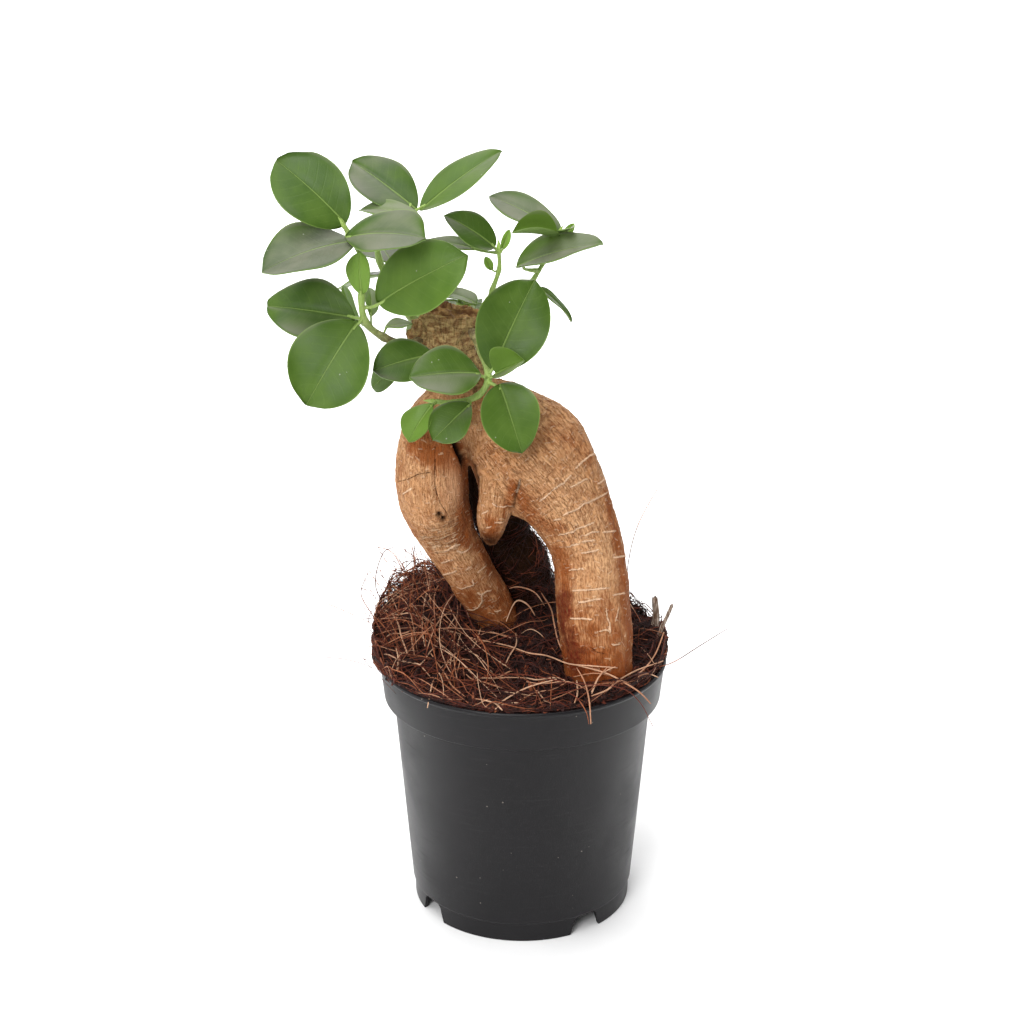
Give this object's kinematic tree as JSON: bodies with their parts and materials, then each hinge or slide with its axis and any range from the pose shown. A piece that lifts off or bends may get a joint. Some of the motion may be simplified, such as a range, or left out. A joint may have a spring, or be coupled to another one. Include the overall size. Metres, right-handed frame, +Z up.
{
  "type": "chinese banyan bonsai",
  "caption": "Grafted Chinese banyan bonsai with a swollen forked rootstock and leafy shoots, in a round black nursery pot of coconut-fibre soil.",
  "frame": {"origin": "middle of the footprint of the plant's bounding box, on the surface that the pot stands on", "axes": "+Z up, -Y towards the front of the plant, +X to the side of the thicker leg of the rootstock"},
  "size_m": [0.1364, 0.0935, 0.2383],
  "materials": {
    "pot": "black moulded polypropylene with a soft sheen",
    "soil": "dark brown coconut-fibre soil with loose reddish fibres",
    "bark": "thin tan bark with pale cross dashes",
    "leaf": "leathery glossy green leaf with a pale midrib and margin"
  },
  "bodies": {
    "root": {"pot": "pot", "coir_soil": "soil", "rootstock": "bark", "shoot_left": "leaf", "shoot_left_top": "leaf", "shoot_front": "leaf", "shoot_right": "leaf", "shoot_right_far": "leaf", "shoot_back": "leaf", "shoot_back_left": "leaf"}
  },
  "joints": []
}
